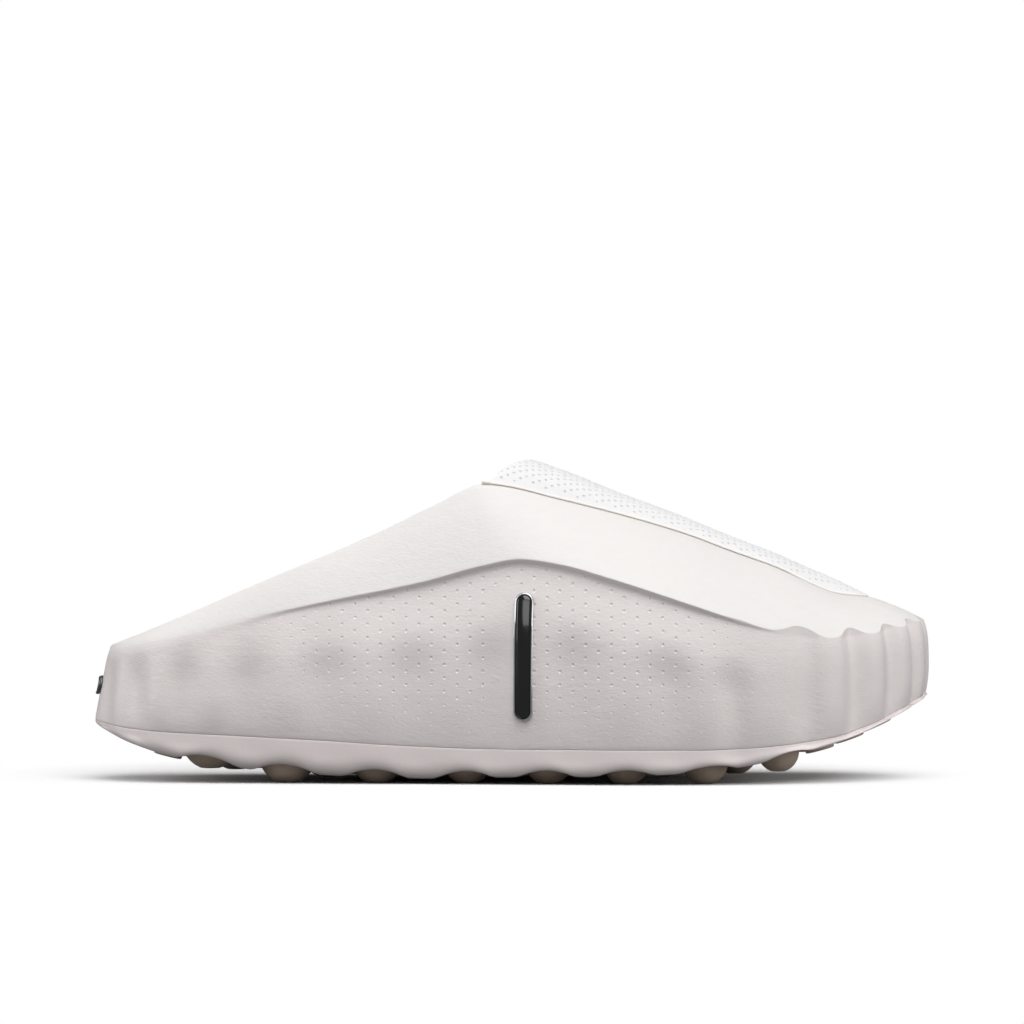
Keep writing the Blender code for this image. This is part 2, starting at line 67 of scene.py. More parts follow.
def newMaterial(name, colour, roughness, **sockets):
    made = bpy.data.materials.new(name)
    made.use_nodes = True
    shader = made.node_tree.nodes["Principled BSDF"]
    shader.inputs["Base Color"].default_value = hexColour(colour)
    shader.inputs["Roughness"].default_value = roughness
    for socket, value in sockets.items():
        shader.inputs[socket.replace("_", " ")].default_value = value
    return made, made.node_tree, shader


def ease(x, low, high):
    u = np.clip((x - low) / (high - low), 0.0, 1.0)
    return u * u * (3 - 2 * u)


def meshObject(name, points, faces, materials, faceSlots=None):
    mesh = bpy.data.meshes.new(name)
    mesh.from_pydata([tuple(map(float, p)) for p in points], [], [tuple(map(int, f)) for f in faces])
    for material in materials:
        mesh.materials.append(material)
    if faceSlots is not None:
        mesh.polygons.foreach_set("material_index", np.asarray(faceSlots, dtype=np.int32))
    made = bpy.data.objects.new(name, mesh)
    bpy.context.scene.collection.objects.link(made)
    return made


def tidyMesh(made, sharpAngle):
    # welds seams and poles, turns the faces outwards and shades smooth but for real edges
    shape = bmesh.new()
    shape.from_mesh(made.data)
    bmesh.ops.remove_doubles(shape, verts=shape.verts, dist=2e-6)
    bmesh.ops.recalc_face_normals(shape, faces=shape.faces)
    shape.to_mesh(made.data)
    shape.free()
    made.data.shade_smooth()
    made.data.set_sharp_from_angle(angle=math.radians(sharpAngle))
    return made


def gridFaces(rows, columns, wrapRows=False, wrapColumns=True):
    # quads of a grid whose points run row by row
    r = np.arange(rows if wrapRows else rows - 1)
    c = np.arange(columns if wrapColumns else columns - 1)
    r, c = np.meshgrid(r, c, indexing="ij")
    r2, c2 = (r + 1) % rows, (c + 1) % columns
    corners = [r * columns + c, r * columns + c2, r2 * columns + c2, r2 * columns + c]
    return np.stack(corners, -1).reshape(-1, 4)


def stripFaces(start, count):
    # closes a ring of count points, alike on both sides, with strips across the foot
    half = count // 2
    faces = [(start, start + 1, start + count - 1)]
    for i in range(1, half - 1):
        faces.append((start + i, start + i + 1, start + count - i - 1, start + count - i))
    faces.append((start + half - 1, start + half, start + half + 1))
    return faces


def storeField(made, name, values, kind="FLOAT"):
    # one value a point, which the node trees read by name
    field = made.data.attributes.new(name, kind, "POINT")
    values = np.asarray(values, np.float32).ravel()
    field.data.foreach_set("vector" if kind == "FLOAT_VECTOR" else "value", values)


def newNodesTree(name, sockets):
    # sockets: the tree's own inputs, name -> kind, after the geometry
    tree = bpy.data.node_groups.new(name, "GeometryNodeTree")
    tree.interface.new_socket("Geometry", in_out="OUTPUT", socket_type="NodeSocketGeometry")
    for socket, kind in {"Geometry": "Geometry", **sockets}.items():
        tree.interface.new_socket(socket, in_out="INPUT", socket_type="NodeSocket" + kind)
    return tree, addNode(tree, "NodeGroupInput").outputs


def finishTree(tree, geometry, finish):
    real = addNode(tree, "GeometryNodeRealizeInstances", {"Geometry": geometry})
    done = addNode(tree, "GeometryNodeSetMaterial", {"Geometry": real.outputs[0], "Material": finish})
    addNode(tree, "NodeGroupOutput", {"Geometry": done.outputs[0]})
    return tree


def addNodesModifier(made, tree, values):
    modifier = made.modifiers.new(tree.name, "NODES")
    modifier.node_group = tree
    for item in tree.interface.items_tree:
        if item.item_type == "SOCKET" and item.in_out == "INPUT" and item.name in values:
            modifier[item.identifier] = values[item.name]


def bakeNodes(made, sharpAngle):
    # the evaluated result becomes the object's own plain mesh and the modifiers go
    graph = bpy.context.evaluated_depsgraph_get()
    result = bpy.data.meshes.new_from_object(made.evaluated_get(graph))
    made.modifiers.clear()
    made.data = result
    made.data.shade_smooth()
    made.data.set_sharp_from_angle(angle=math.radians(sharpAngle))


# the shoe's lines are tables of shares of these sizes, smooth between their rows, as the solids have them
shoe = {
    "length": 0.306,
    "ballWidth": 0.118,
    "instepHeight": 0.1176,
    "crestHeight": 0.0810,
    "toeSpring": 0.0325,
    "flutes": 31,
    "fluteCrowding": 0.652,  # flutes stand closer together towards the toe
    "fluteSkew": 0.078,
    "gap": 0.0003,
}

planTable = (
    ("station", "middle", "outer", "inner"),
    (0.00, 0.000, 0.660, 0.660),
    (0.05, 0.000, 0.632, 0.632),
    (0.15, 0.000, 0.510, 0.504),
    (0.25, -0.008, 0.445, 0.445),
    (0.40, -0.017, 0.411, 0.398),
    (0.50, -0.013, 0.441, 0.411),
    (0.62, 0.000, 0.511, 0.476),
    (0.72, 0.013, 0.566, 0.538),
    (0.82, 0.034, 0.607, 0.579),
    (0.92, 0.059, 0.648, 0.593),
    (1.00, 0.068, 0.700, 0.650),
)
rockerTable = (
    ("station", "seam", "edge"),
    (0.00, 0.677, 0.640),
    (0.02, 0.640, 0.550),
    (0.05, 0.600, 0.428),
    (0.10, 0.565, 0.290),
    (0.15, 0.545, 0.205),
    (0.20, 0.520, 0.142),
    (0.25, 0.498, 0.105),
    (0.40, 0.418, 0.058),
    (0.50, 0.394, 0.080),
    (0.62, 0.391, 0.092),
    (0.72, 0.390, 0.140),
    (0.77, 0.405, 0.200),
    (0.82, 0.440, 0.302),
    (0.88, 0.523, 0.449),
    (0.92, 0.640, 0.585),
    (0.97, 0.855, 0.809),
    (1.00, 1.000, 0.955),
)
crestTable = (
    ("station", "height", "inset", "bulge", "undercut", "flute", "pillow", "tuck"),
    (0.00, 0.586, 0.82, 1.1, 0.00, 0.00, 0.00, 0.0),
    (0.01, 0.592, 0.82, 1.2, 0.00, 0.30, 0.00, 0.1),
    (0.05, 0.623, 0.82, 1.5, 0.00, 0.74, 0.00, 0.5),
    (0.10, 0.654, 0.78, 1.9, 0.02, 0.80, 0.10, 0.9),
    (0.15, 0.695, 0.78, 2.3, 0.10, 0.82, 0.25, 1.0),
    (0.25, 0.786, 0.90, 2.6, 0.38, 0.78, 0.50, 1.0),
    (0.40, 0.899, 1.05, 2.6, 0.90, 0.70, 0.90, 1.0),
    (0.47, 0.970, 1.10, 2.6, 1.00, 0.68, 1.00, 1.0),
    (0.515, 1.000, 1.10, 2.6, 1.00, 0.68, 1.00, 1.0),
    (0.56, 0.978, 1.08, 2.6, 1.00, 0.70, 1.00, 1.0),
    (0.62, 0.915, 1.00, 2.8, 1.00, 0.74, 1.00, 1.0),
    (0.72, 0.790, 0.70, 3.4, 0.80, 0.74, 0.90, 1.0),
    (0.78, 0.714, 0.48, 4.2, 0.35, 0.80, 0.45, 0.9),
    (0.82, 0.677, 0.38, 5.0, 0.08, 0.95, 0.10, 0.8),
    (0.88, 0.649, 0.34, 5.5, 0.00, 1.00, 0.00, 0.7),
    (0.92, 0.662, 0.34, 6.0, 0.00, 0.95, 0.00, 0.6),
    (0.97, 0.695, 0.34, 6.0, 0.00, 0.85, 0.00, 0.5),
    (1.00, 0.722, 0.34, 6.0, 0.00, 0.80, 0.00, 0.5),
)
mouthTable = (
    ("place", "middle", "width", "height", "ridge"),
    (0.000, 0.000, 0.458, 0.419, 0.419),
    (0.060, 0.000, 0.431, 0.474, 0.474),
    (0.200, -0.004, 0.345, 0.615, 0.615),
    (0.360, -0.002, 0.276, 0.775, 0.775),
    (0.400, 0.001, 0.270, 0.822, 0.890),
    (0.440, 0.004, 0.264, 0.868, 0.965),
    (0.465, 0.006, 0.260, 0.900, 0.990),
    (0.489, 0.008, 0.256, 0.922, 1.000),
    (0.520, 0.010, 0.250, 0.914, 1.012),
    (0.584, 0.014, 0.241, 0.878, 0.973),
    (0.668, 0.020, 0.225, 0.828, 0.895),
    (0.752, 0.026, 0.211, 0.770, 0.821),
    (0.816, 0.032, 0.209, 0.714, 0.759),
    (0.879, 0.038, 0.222, 0.660, 0.702),
    (0.922, 0.042, 0.240, 0.611, 0.657),
    (0.955, 0.046, 0.260, 0.582, 0.624),
    (1.000, 0.051, 0.300, 0.569, 0.573),
)


def columnCurves(table):
    # one smooth function a column, which never overshoots its rows
    rows = np.array(table[1:])
    xs, steps = rows[:, 0], np.diff(rows[:, 0])

    def curveOf(ys):
        rises = np.diff(ys) / steps
        product, total = rises[:-1] * rises[1:], rises[:-1] + rises[1:]
        inner = np.where(product > 0, 2 * product / np.where(product > 0, total, 1), 0)
        slopes = np.concatenate([[rises[0]], inner, [rises[-1]]])

        def value(x):
            x = np.clip(x, xs[0], xs[-1])
            i = np.clip(np.searchsorted(xs, x, side="right") - 1, 0, len(steps) - 1)
            h, u = steps[i], (x - xs[i]) / steps[i]
            start = (1 + 2 * u) * (1 - u) ** 2 * ys[i] + u * (1 - u) ** 2 * h * slopes[i]
            return start + u * u * (3 - 2 * u) * ys[i + 1] + u * u * (u - 1) * h * slopes[i + 1]

        return value

    return {name: curveOf(rows[:, n]) for n, name in enumerate(table[0]) if n}


plan, rocker = columnCurves(planTable), columnCurves(rockerTable)
crest, mouth = columnCurves(crestTable), columnCurves(mouthTable)


# on the outer side some flutes stand a little nearer the heel than the even spacing puts them
nudgeTurns = (1.350, 1.541, 1.752, 1.946, 2.202, 2.365)
nudges = (0.0, 0.15, 0.21, 0.0, 0.24, 0.0)


def fluteAt(turn):
    even = shoe["flutes"] * turn / math.tau - 0.5
    crowded = even - shoe["fluteCrowding"] * np.sin(turn) + shoe["fluteSkew"] * np.sin(2 * turn)
    return crowded + np.interp(turn, nudgeTurns, nudges)


turnList = np.linspace(0, math.tau, 20001)
fluteList = fluteAt(turnList)


def turnAt(flute):
    return np.interp(flute, fluteList, turnList)


def shareAlong(turn):
    return (1 - np.cos(turn)) / 2


def stationAt(x):
    return x / shoe["length"] + 0.5


def edgeHeight(x):
    return shoe["toeSpring"] * rocker["edge"](stationAt(x))


def seamHeight(x):
    return shoe["toeSpring"] * rocker["seam"](stationAt(x))


def footprint(turn):
    station = shareAlong(turn)
    side = np.where(turn < math.pi, plan["outer"](station), plan["inner"](station))
    across = plan["middle"](station) - side * np.sin(turn)
    return np.stack([shoe["length"] * (station - 0.5), shoe["ballWidth"] * across], -1)


shellSizes = {
    "wall": 0.0035,
    "seamTuck": 0.0020,
    "crestInset": 0.0060,
    "undercut": 0.0028,
    "fluteDepth": 0.0036,
    "fluteSeamShare": 0.7,
    "rimRoll": 0.0035,
    "heelRim": 0.0062,
    "toeCap": 0.0225,
    "shoulderSwell": 0.30,
    "rollEnds": 0.462,
    "grooveStart": 0.58,
    "grooveDeepest": 0.970,
    "edgeRound": 0.0003,
    "crestRound": 0.0003,  # the crest's edge is crisp along the side
    "heelRound": 0.0036,  # and that much softer at the heel
    "panelSeamDip": 0.0005,
    "samplesPerFlute": 16,
}


def mouthEdge(turn):
    back = shellSizes["heelRim"] - shoe["length"] / 2
    tip = shoe["length"] / 2 - shellSizes["toeCap"]
    place = shareAlong(turn)
    across = mouth["middle"](place) - mouth["width"](place) * np.sin(turn)
    return np.stack([
        back + (tip - back) * place,
        shoe["ballWidth"] * across,
        shoe["instepHeight"] * mouth["height"](place),
    ], -1)


def besideMouth(turn, outward):
    run = mouthEdge(turn + 0.01) - mouthEdge(turn - 0.01)
    side = np.column_stack([run[:, 1], -run[:, 0], np.zeros(len(run))])
    return mouthEdge(turn) + side / np.linalg.norm(side, axis=1)[:, None] * outward


class Cut:
    # upright cuts through the wall, one a turn: points are a reach in from the outline and a height

    def __init__(self, turns):
        s = shellSizes
        self.turns = turns
        self.base, self.rim = footprint(turns), mouthEdge(turns)
        self.station = shareAlong(turns)
        inward = self.rim[:, :2] - self.base
        self.reach = np.linalg.norm(inward, axis=1)
        self.inward = inward / self.reach[:, None]
        self.seam = seamHeight(self.base[:, 0])
        self.crest = shoe["crestHeight"] * crest["height"](self.station)
        self.crestInset = s["crestInset"] * crest["inset"](self.station)
        self.undercut = s["undercut"] * crest["undercut"](self.station)
        self.bulge = crest["bulge"](self.station)
        self.tuck = s["seamTuck"] * crest["tuck"](self.station)
        self.pillow = crest["pillow"](self.station)
        self.depth = s["fluteDepth"] * crest["flute"](self.station)
        self.roll = s["rimRoll"] * (1 - ease(self.station, s["rollEnds"] - 0.03, s["rollEnds"]))
        # the flutes stop short of the crest, but run through it at the toe
        self.calm = np.maximum(1 - ease(self.station, 0.74, 0.84) - self.pillow, 0)
        # and there the ribs are full and the creases between them narrow
        narrow = 1 + 0.7 * ease(self.station, 0.72, 0.86)
        self.trough = (0.5 - 0.5 * np.cos(math.tau * fluteAt(turns))) ** narrow

    def point(self, reach, height):
        spot = self.base + self.inward * np.reshape(reach, (-1, 1))
        return np.column_stack([spot, np.broadcast_to(height, len(spot))])

    def fluteShare(self, rise):
        seam = shellSizes["fluteSeamShare"]
        fade = self.pillow * ease(rise, 0.42, 0.74) + self.calm * ease(rise, 0.50, 0.97)
        return (seam + (1 - seam) * ease(rise, 0, 0.3)) * (1 - fade)

    def lean(self, rise):
        s = shellSizes
        lean = self.tuck * np.maximum(0.0, 1 - rise / 0.35) ** 2 + self.crestInset * rise ** self.bulge
        groove = ease(rise, s["grooveStart"], s["grooveDeepest"]) - ease(rise, s["grooveDeepest"], 1.0)
        return lean + self.undercut * groove

    def wall(self, rise):
        reach = self.lean(rise) + self.depth * self.trough * self.fluteShare(rise)
        foot = self.seamBelow(reach)
        return reach, foot + rise * (self.crest - foot)

    def seamBelow(self, reach):
        # taken at the point's own place along the shoe, so that the seam runs smooth from the side
        return seamHeight(self.base[:, 0] + self.inward[:, 0] * reach)

    def lining(self, rise):
        return self.lean(rise) + self.depth * self.fluteShare(rise) + shellSizes["wall"]

    def straightLining(self, rise):
        # straight below the middle of the wall, so that sole and insole can be pushed in
        low, high = self.lining(0.0), self.lining(0.45)
        return np.maximum(low, low + (high - low) * rise / 0.45)

    def besideLining(self, lift, gap):
        reach = self.straightLining(lift / (self.crest - self.seam)) + gap
        spot = self.point(reach, 0.0)
        spot[:, 2] = seamHeight(spot[:, 0]) + lift
        return spot

    def shoulderHeight(self, reach):
        share = np.clip((reach - self.crestInset) / (self.reach - self.crestInset), 0, 1)
        swell = shellSizes["shoulderSwell"] * share * (1 - share)
        return self.crest + (self.rim[:, 2] - self.crest) * (share + swell)

    def drop(self, reach):
        slope = (self.shoulderHeight(reach) - self.shoulderHeight(reach - 0.001)) / 0.001
        return shellSizes["wall"] * np.sqrt(1 + np.minimum(np.abs(slope), 1.5) ** 2)


aroundCount = shoe["flutes"] * shellSizes["samplesPerFlute"]
shellTurns = turnAt(np.arange(aroundCount) / shellSizes["samplesPerFlute"] - 0.5)
cut = Cut(shellTurns)


leatherLook = {
    "shoulderColour": "#F1EEEC",
    # the wall's colour is the shoulder's with painted shade: pinker and a little darker
    "wallPaintedShadeColour": "#EFE8E7",
    "creaseShade": 0.96,
    "grainPitch": 0.0015,  # the real grain is about 0.4 mm, drawn coarser so that it shows
    "creasePitch": 0.0055,
    "levelStretch": 2.3,
    "grainHeight": 0.00007,
}


def leatherMaterial(name, colour, look):
    # soft polyurethane leather over foam: matt, a fine pebbled grain, drawn out into level creases
    made, tree, shader = newMaterial(name, colour, 0.52, Specular_IOR_Level=0.35)
    place = addNode(tree, "ShaderNodeTexCoord").outputs["Object"]
    flat = addNode(tree, "ShaderNodeMapping", {"Vector": place, "Scale": (1.0, 1.0, look["levelStretch"])})
    grain = addNode(tree, "ShaderNodeTexNoise", {
        "Vector": flat.outputs[0], "Scale": 1 / look["grainPitch"], "Detail": 2.0, "Roughness": 0.55})
    crease = addNode(tree, "ShaderNodeTexNoise", {
        "Vector": flat.outputs[0], "Scale": 1 / look["creasePitch"], "Detail": 2.0})
    height = addNode(tree, "ShaderNodeMath", {0: grain.outputs[0], 1: crease.outputs[0]}, operation="ADD")
    bump = addNode(tree, "ShaderNodeBump", {
        "Height": height.outputs[0], "Strength": 0.45, "Distance": look["grainHeight"] * 4})
    plain = hexColour(colour)
    creased = (*[part * look["creaseShade"] for part in plain[:3]], 1.0)
    tint = addNode(tree, "ShaderNodeMix", {0: crease.outputs[0], 6: plain, 7: creased}, data_type="RGBA")
    rough = addNode(tree, "ShaderNodeMapRange", {
        "Value": grain.outputs[0], "To Min": 0.42, "To Max": 0.62})
    tree.links.new(tint.outputs[2], shader.inputs["Base Color"])
    tree.links.new(rough.outputs[0], shader.inputs["Roughness"])
    tree.links.new(bump.outputs[0], shader.inputs["Normal"])
    return made


def roughen(tree, shader, pitch, detail, strength):
    # a fine uneven skin, its lumps a pitch apart; returns its pattern
    place = addNode(tree, "ShaderNodeTexCoord").outputs["Object"]
    lumps = addNode(tree, "ShaderNodeTexNoise", {"Vector": place, "Scale": 1 / pitch, "Detail": detail})
    bump = addNode(tree, "ShaderNodeBump", {
        "Height": lumps.outputs[0], "Strength": strength, "Distance": 0.0002})
    tree.links.new(bump.outputs[0], shader.inputs["Normal"])
    return lumps.outputs[0]


shoulderLeather = leatherMaterial(
    "off-white polyurethane leather", leatherLook["shoulderColour"], leatherLook)
# the wall below the crest takes a pinker, slightly darker copy of the leather as painted shade; the shoulder
# above keeps the plain colour
wallLeatherPaintedShade = leatherMaterial(
    "perforated wall leather, pinker as painted shade", leatherLook["wallPaintedShadeColour"], leatherLook)

# the pinholes' inside, darker than the leather as painted shade in the hollows
pinholeShade = newMaterial("pinhole insides, darker as painted shade", "#A79C9A", 0.7)[0]

# brushed textile lining: a short even nap, about 0.3 mm, drawn at 0.7 mm so that it shows
lining, tree, shader = newMaterial("brushed textile lining", "#D9D4D0", 0.92, Sheen_Weight=0.25)
roughen(tree, shader, 1 / 1400, 2.0, 0.5)


def punchTree(name):
    # shoots a staggered lattice of small balls at the surface and cuts them out of it
    tree, given = newNodesTree(name, {
        "Column Pitch": "Float", "Row Pitch": "Float", "Hole Radius": "Float", "Proud": "Float",
        "Columns": "Int", "Rows": "Int", "Lattice Turn": "Vector", "Lattice Middle": "Vector",
        "Ray": "Vector", "Hole Material": "Material"})
    columnGaps = addNode(tree, "ShaderNodeMath", {0: given["Columns"], 1: 1.0}, operation="SUBTRACT")
    rowGaps = addNode(tree, "ShaderNodeMath", {0: given["Rows"], 1: 1.0}, operation="SUBTRACT")
    sizeX = addNode(tree, "ShaderNodeMath", {
        0: given["Column Pitch"], 1: columnGaps.outputs[0]}, operation="MULTIPLY")
    sizeY = addNode(tree, "ShaderNodeMath", {
        0: given["Row Pitch"], 1: rowGaps.outputs[0]}, operation="MULTIPLY")
    lattice = addNode(tree, "GeometryNodeMeshGrid", {
        "Size X": sizeX.outputs[0], "Size Y": sizeY.outputs[0],
        "Vertices X": given["Columns"], "Vertices Y": given["Rows"]})
    # every other column is shifted by half a row
    index = addNode(tree, "GeometryNodeInputIndex")
    columnPlace = addNode(tree, "ShaderNodeMath", {0: index.outputs[0], 1: given["Rows"]}, operation="DIVIDE")
    column = addNode(tree, "ShaderNodeMath", {0: columnPlace.outputs[0]}, operation="FLOOR")
    odd = addNode(tree, "ShaderNodeMath", {0: column.outputs[0], 1: 2.0}, operation="MODULO")
    halfRow = addNode(tree, "ShaderNodeMath", {0: given["Row Pitch"], 1: 0.5}, operation="MULTIPLY")
    shift = addNode(tree, "ShaderNodeMath", {0: odd.outputs[0], 1: halfRow.outputs[0]}, operation="MULTIPLY")
    offset = addNode(tree, "ShaderNodeCombineXYZ", {"Y": shift.outputs[0]})
    staggered = addNode(tree, "GeometryNodeSetPosition", {
        "Geometry": lattice.outputs["Mesh"], "Offset": offset.outputs[0]})
    turned = addNode(tree, "GeometryNodeTransform", {
        "Geometry": staggered.outputs[0], "Translation": given["Lattice Middle"],
        "Rotation": given["Lattice Turn"]})
    punched = addNode(tree, "GeometryNodeInputNamedAttribute", {"Name": "punched"}, data_type="FLOAT")
    ray = addNode(tree, "GeometryNodeRaycast", {
        "Target Geometry": given["Geometry"], "Ray Direction": given["Ray"], "Ray Length": 0.4,
        "Attribute": punched.outputs[0]}, data_type="FLOAT")
    standOff = addNode(tree, "ShaderNodeVectorMath", {
        0: ray.outputs["Hit Normal"], "Scale": given["Proud"]}, operation="SCALE")
    spot = addNode(tree, "ShaderNodeVectorMath", {
        0: ray.outputs["Hit Position"], 1: standOff.outputs[0]}, operation="ADD")
    hitSize = addNode(tree, "ShaderNodeMath", {
        0: ray.outputs["Is Hit"], 1: ray.outputs["Attribute"]}, operation="MULTIPLY")
    aligned = addNode(tree, "FunctionNodeAlignRotationToVector", {
        "Vector": ray.outputs["Hit Normal"]}, axis="Z")
    # the ray is read on the lattice before its points move, so what the balls need is stored first
    sized = addNode(tree, "GeometryNodeStoreNamedAttribute", {
        "Geometry": turned.outputs[0], "Name": "size", "Value": hitSize.outputs[0]},
        data_type="FLOAT", domain="POINT")
    faced = addNode(tree, "GeometryNodeStoreNamedAttribute", {
        "Geometry": sized.outputs[0], "Name": "facing", "Value": aligned.outputs[0]},
        data_type="QUATERNION", domain="POINT")
    landed = addNode(tree, "GeometryNodeSetPosition", {
        "Geometry": faced.outputs[0], "Position": spot.outputs[0]})
    size = addNode(tree, "GeometryNodeInputNamedAttribute", {"Name": "size"}, data_type="FLOAT")
    facing = addNode(tree, "GeometryNodeInputNamedAttribute", {"Name": "facing"}, data_type="QUATERNION")
    tooSmall = addNode(tree, "ShaderNodeMath", {0: size.outputs[0], 1: 0.4}, operation="LESS_THAN")
    few = addNode(tree, "GeometryNodeDeleteGeometry", {
        "Geometry": landed.outputs[0], "Selection": tooSmall.outputs[0]}, domain="POINT")
    ball = addNode(tree, "GeometryNodeMeshUVSphere", {
        "Segments": 8, "Rings": 6, "Radius": given["Hole Radius"]})
    finishedBall = addNode(tree, "GeometryNodeSetMaterial", {
        "Geometry": ball.outputs["Mesh"], "Material": given["Hole Material"]})
    balls = addNode(tree, "GeometryNodeInstanceOnPoints", {
        "Points": few.outputs[0], "Instance": finishedBall.outputs[0],
        "Rotation": facing.outputs[0], "Scale": size.outputs[0]})
    real = addNode(tree, "GeometryNodeRealizeInstances", {"Geometry": balls.outputs[0]})
    cutOut = addNode(tree, "GeometryNodeMeshBoolean", {
        "Mesh 1": given["Geometry"], "Mesh 2": real.outputs[0]}, operation="DIFFERENCE", solver="MANIFOLD")
    addNode(tree, "NodeGroupOutput", {"Geometry": cutOut.outputs["Mesh"]})
    return tree


# a pinprick is about 0.6 mm wide, drawn at about 1.3 mm as a shallow dimple so that it shows
perforations = {
    "columnPitch": 0.0046,
    "rowPitch": 0.0048,
    "radius": 0.00080,
    "proud": 0.00040,  # how far a ball's middle stands off the wall that it dimples
    "heelEnd": -0.126,
    "toeEnd": 0.104,
    "overSeam": 0.0025,
    "underCrest": 0.0012,
    "badgeSpot": (-0.0036, 0.0460),
    "badgeHalf": 0.0195,  # half of the capsule's straight part
    "badgeRoom": 0.0062,
}


def shellRows():
    sizes = shellSizes
    tall, foot = cut.crest - cut.seam, sizes["edgeRound"]
    footReach = cut.wall(0.0)[0]
    footHeight = cut.seamBelow(footReach)
    rows = [(footReach + foot, footHeight), (footReach + 0.3 * foot, footHeight + 0.12 * foot)]
    # the rows crowd towards the crest
    rises = (*np.linspace(0.03, 0.66, 22), *np.linspace(0.685, 0.95, 13),
             0.965, 0.976, 0.984, 0.990, 0.9935, 0.997)
    rows += [cut.wall(rise) for rise in (1.2 * foot / tall, *rises)]
    lip = cut.crestInset + cut.depth * cut.trough * cut.fluteShare(1.0)
    crestRow = len(rows)
    dip = sizes["panelSeamDip"] * ease(cut.station, 0.45, 0.5)
    for share in (0.0, 0.010, 0.022, 0.05, 0.09, 0.13, 0.18, 0.25, 0.33,
                  0.42, 0.52, 0.62, 0.72, 0.81, 0.89, 0.95, 0.985, 1.0):
        reach = lip + (cut.reach - lip) * share
        rows.append((reach, cut.shoulderHeight(reach) - dip * ease(share, 0.93, 1.0)))
    drop = cut.drop(cut.reach)
    for a in np.linspace(0.2, 1, 6) * math.pi / 2:
        rows.append((cut.reach + cut.roll * np.sin(a), cut.rim[:, 2] - drop * (1 - np.cos(a)) - dip))
    rimRow = len(rows)
    start, inside = cut.reach + cut.roll, cut.lining(sizes["grooveDeepest"])
    for share in np.linspace(0.12, 1, 8):
        reach = start + (inside - start) * share
        rows.append((reach, cut.shoulderHeight(reach) - cut.drop(reach)))
    for rise in (0.7, 0.45, 0.3, 0.15, 0.0):
        reach = cut.straightLining(rise) if rise < 0.45 else cut.lining(rise)
        rows.append((reach, cut.seam + rise * tall))
    reaches = np.array([reach for reach, height in rows])
    heights = np.array([np.broadcast_to(height, len(tall)) for reach, height in rows])
    # the crest is rounded off by the mean of the points to either side along the cut
    near = np.arange(crestRow - 26, crestRow + 10)
    wides = sizes["crestRound"] + sizes["heelRound"] * (1 - ease(cut.station, 0.05, 0.27))
    for n, wide in enumerate(wides):
        r, h = reaches[:rimRow - 6, n].copy(), heights[:rimRow - 6, n].copy()
        run = np.concatenate([[0], np.cumsum(np.hypot(np.diff(r), np.diff(h)))])
        spots = run[near][:, None] + wide * np.linspace(-1, 1, 9)
        reaches[near, n] = np.interp(spots, run, r).mean(1)
        heights[near, n] = np.interp(spots, run, h).mean(1)
    return reaches, heights, crestRow, rimRow


reaches, heights, crestRow, rimRow = shellRows()
shellPoints = np.concatenate([cut.point(r, h) for r, h in zip(reaches, heights)])
rowCount = len(reaches)
shellFaces = gridFaces(rowCount, aroundCount, wrapRows=True)
rowOfFace = np.repeat(np.arange(rowCount), aroundCount)
# faces below the crest take the wall leather with its painted shade
slots = np.where(rowOfFace < crestRow, 2, np.where(rowOfFace < rimRow - 1, 0, 1))
upper = meshObject("upper_shell", shellPoints, shellFaces, [shoulderLeather, lining, wallLeatherPaintedShade], slots)


def pinprickSizes():
    # full on the pillow, smaller to toe, heel and seam, and none past the field's ends or by the badge
    field = perforations
    x, side, z = (shellPoints[:, n].reshape(heights.shape) for n in range(3))
    overSeam, underCrest = heights - cut.seam, cut.crest - heights
    wide = (0.48 + 0.52 * ease(x, -0.125, -0.045)) * (1 - 0.35 * ease(x, 0.05, 0.10))
    wide *= 0.70 + 0.30 * ease(overSeam, 0.003, 0.030)
    past = (x < field["heelEnd"]) | (x > field["toeEnd"])
    past |= (overSeam < field["overSeam"]) | (underCrest < field["underCrest"])
    badgeX, badgeZ = field["badgeSpot"]
    fromBadge = np.hypot(np.maximum(np.abs(z - badgeZ) - field["badgeHalf"], 0), x - badgeX)
    wide[past | (side < 0) & (fromBadge < field["badgeRoom"])] = 0
    wide[crestRow:] = 0
    return wide


storeField(upper, "punched", pinprickSizes())
tidyMesh(upper, 50)
smoothWall = BVHTree.FromPolygons(
    [tuple(v.co) for v in upper.data.vertices], [tuple(p.vertices) for p in upper.data.polygons])
print("upper shell", len(upper.data.polygons), "faces")

punch = punchTree("punched lattice")
for sideSign in (-1, 1):
    addNodesModifier(upper, punch, {
        "Column Pitch": perforations["columnPitch"], "Row Pitch": perforations["rowPitch"],
        "Hole Radius": perforations["radius"], "Proud": perforations["proud"], "Columns": 52, "Rows": 18,
        "Lattice Turn": (math.pi / 2, 0.0, 0.0), "Lattice Middle": (-0.0085, 0.2 * sideSign, 0.0455),
        "Ray": (0.0, -1.0 * sideSign, 0.0), "Hole Material": pinholeShade})
bakeNodes(upper, 30)
print("perforated upper", len(upper.data.polygons), "faces")
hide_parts("upper")
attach(upper, "root")


panelSizes = {
    "wall": 0.0030,
    "lipPlace": 0.489,
    "lipScoop": 0.0165,
    "lipRoll": 0.0022,
    "fullness": 2.5,
    "edgeDip": 0.0009,
    "acrossSteps": 48,
    "holePitch": 0.0023,  # the real mesh is about 1.6 mm, drawn coarser so that it shows
    "holeRow": 0.0027,
    "holeRadius": 0.00074,
    "holeProud": 0.00036,
}

# knitted spacer mesh: white matt yarn with a faint rib, open holes whose insides are pale grey as painted
# shade
knit, tree, shader = newMaterial("white spacer mesh knit", "#F2F1F2", 0.85, Sheen_Weight=0.3)
roughen(tree, shader, 1 / 1300, 2.0, 0.5)  # yarn loops of about 0.5 mm, drawn at 0.8 mm
knitHoleShade = newMaterial("pale grey in the spacer mesh holes as painted shade", "#E2E0E1", 0.95)[0]


